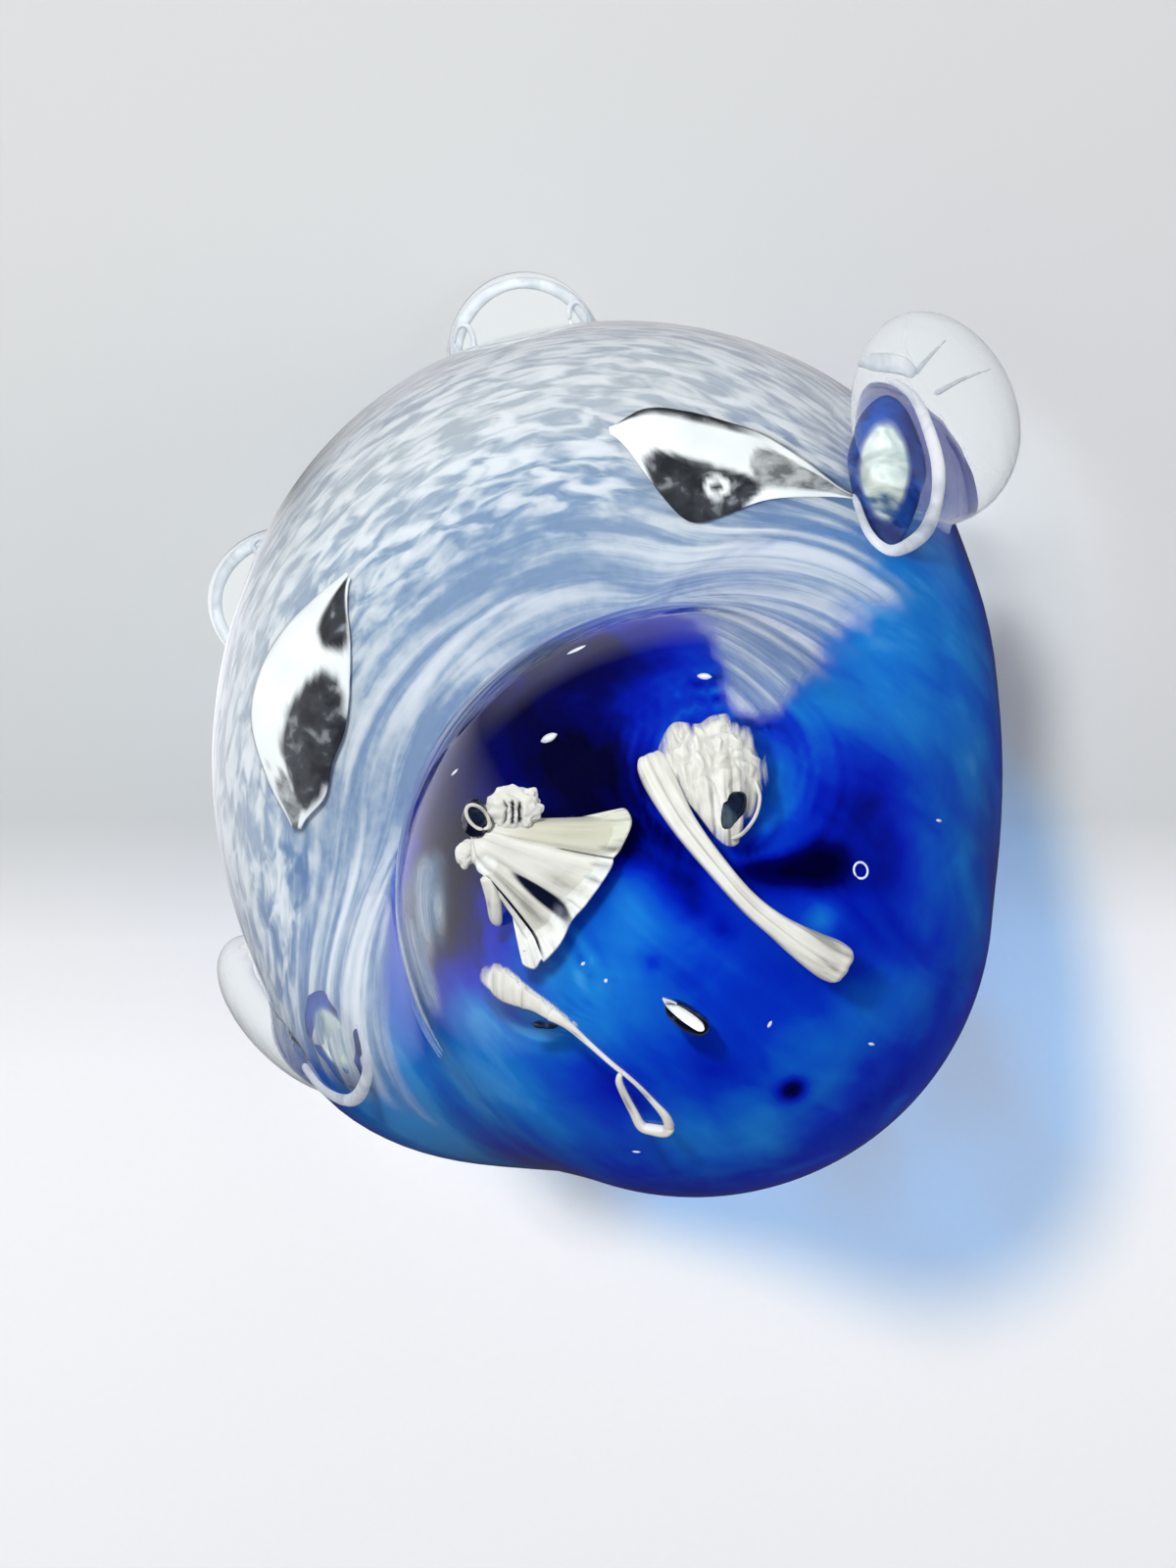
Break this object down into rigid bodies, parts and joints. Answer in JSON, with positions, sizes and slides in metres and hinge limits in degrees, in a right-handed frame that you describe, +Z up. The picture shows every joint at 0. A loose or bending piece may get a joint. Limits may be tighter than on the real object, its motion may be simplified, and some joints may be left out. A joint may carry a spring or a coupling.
{
  "type": "glass penguin figurine",
  "caption": "Free-standing solid glass penguin ornament: cased body with a blue back and head, white belly, clear flippers, feet, beak, eyes and trailed brows.",
  "frame": {"origin": "middle of the footprint, on the ground base the penguin stands on", "axes": "+Z up from the base to the crown, -Y the way the penguin's belly and beak face, +X the penguin's left"},
  "size_m": [0.1022, 0.072, 0.0989],
  "materials": {
    "clear_glass": "fire-polished clear glass",
    "blue_glass": "transparent cobalt colour with paler wisps",
    "white_frit": "mottled opaque white frit",
    "ivory_glass": "opaque ivory glass, softly glossy"
  },
  "bodies": {
    "root": {"clear_core": "clear_glass", "blue_overlay": "blue_glass", "white_overlay": "white_frit", "clear_casing": "clear_glass", "right_flipper": "clear_glass", "left_flipper": "clear_glass", "right_foot": "clear_glass", "left_foot": "clear_glass", "beak": "ivory_glass", "right_eye": "ivory_glass", "left_eye": "ivory_glass", "right_brow": "ivory_glass", "left_brow": "ivory_glass"}
  },
  "joints": []
}
